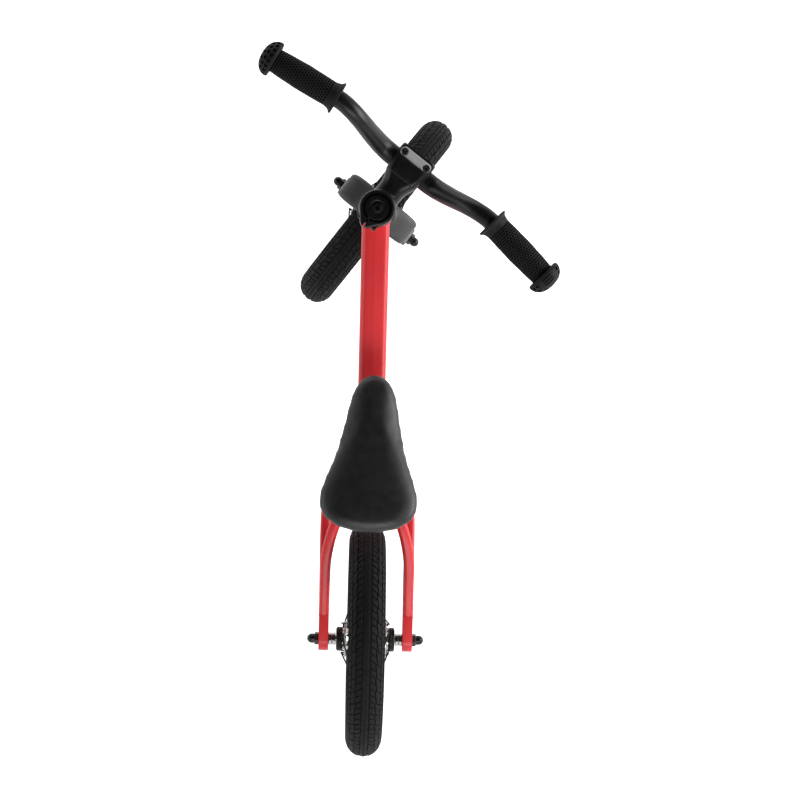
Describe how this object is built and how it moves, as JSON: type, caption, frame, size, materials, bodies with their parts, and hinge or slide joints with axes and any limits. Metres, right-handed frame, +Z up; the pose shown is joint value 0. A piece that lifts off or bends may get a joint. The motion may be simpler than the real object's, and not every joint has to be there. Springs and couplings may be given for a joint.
{
  "type": "balance bike",
  "caption": "Child's balance bike with spoked wheels, rubber tyres, single-beam frame, turning fork with a raised handlebar, and a height-adjustable padded saddle.",
  "frame": {"origin": "on the ground under the rear axle, in the frame's middle plane", "axes": "+X forward, +Y to the rider's left along the rear axle, +Z up; stored with the steering turned to the right, as shown"},
  "size_m": [0.856, 0.3644, 0.6011],
  "materials": {
    "frame_red": "gloss red enamel",
    "fork_grey": "matte dark grey",
    "satin_black": "satin black anodised",
    "plate_grey": "satin grey anodised",
    "black_steel": "black oxide",
    "zinc_steel": "zinc plated",
    "grip_rubber": "matte rubber",
    "black_plastic": "moulded",
    "saddle_leather": "smooth synthetic leather",
    "tyre_rubber": "moulded tread",
    "tube_rubber": "butyl",
    "rim_black": "satin black",
    "spoke_black": "black"
  },
  "bodies": {
    "frame": {"head_tube": "frame_red", "main_beam": "frame_red", "seat_tube": "frame_red", "chain_stay_left": "frame_red", "chain_stay_right": "frame_red", "seat_stay_left": "frame_red", "seat_stay_right": "frame_red", "seat_collar": "satin_black", "seat_collar_bolt": "zinc_steel", "lower_cup": "satin_black", "upper_cup": "satin_black", "headset_bearings": "zinc_steel", "rear_axle": "zinc_steel", "rear_cone_nuts": "zinc_steel", "rear_cap_nuts": "black_steel"},
    "steering": {"crown_race": "zinc_steel", "headset_cover": "satin_black", "spacer": "satin_black", "steerer_tube": "fork_grey", "fork_crown": "fork_grey", "fork_leg_left": "fork_grey", "fork_leg_right": "fork_grey", "star_nut": "zinc_steel", "stem_body": "satin_black", "clamp_plate": "plate_grey", "clamp_bolts": "black_steel", "pinch_bolts": "black_steel", "top_cap": "satin_black", "top_cap_bolt": "black_steel", "handlebar": "satin_black", "grip_left": "grip_rubber", "grip_right": "grip_rubber", "front_axle": "zinc_steel", "front_cone_nuts": "zinc_steel", "front_cap_nuts": "black_steel"},
    "saddle": {"seatpost": "satin_black", "saddle_clamp": "satin_black", "saddle_clamp_bolt": "zinc_steel", "saddle_rails": "zinc_steel", "saddle_base": "black_plastic", "saddle_cover": "saddle_leather"},
    "front_wheel": {"front_tyre": "tyre_rubber", "front_inner_tube": "tube_rubber", "front_rim": "rim_black", "front_spokes": "spoke_black", "front_nipples": "spoke_black", "front_hub": "zinc_steel", "front_hub_caps": "black_plastic", "front_hub_bearings": "zinc_steel", "front_valve": "tube_rubber"},
    "rear_wheel": {"rear_tyre": "tyre_rubber", "rear_inner_tube": "tube_rubber", "rear_rim": "rim_black", "rear_spokes": "spoke_black", "rear_nipples": "spoke_black", "rear_hub": "zinc_steel", "rear_hub_caps": "black_plastic", "rear_hub_bearings": "zinc_steel", "rear_valve": "tube_rubber"}
  },
  "joints": [
    {"name": "steering_turn", "type": "hinge", "parent": "frame", "child": "steering", "pos_m": [0.57638, 0, 0.14422], "axis": [-0.3256, 0, 0.9455], "continuous": true},
    {"name": "front_wheel_spin", "type": "hinge", "parent": "steering", "child": "front_wheel", "pos_m": [0.58165, -0.00424, 0.14603], "axis": [0.573, 0.7955, 0.1973], "continuous": true},
    {"name": "rear_wheel_spin", "type": "hinge", "parent": "frame", "child": "rear_wheel", "pos_m": [0, 0, 0.1485], "axis": [0, 1, 0], "continuous": true},
    {"name": "seatpost_slide", "type": "slide", "parent": "frame", "child": "saddle", "axis": [-0.3256, 0, 0.9455], "range_m": [-0.015, 0.05]}
  ]
}
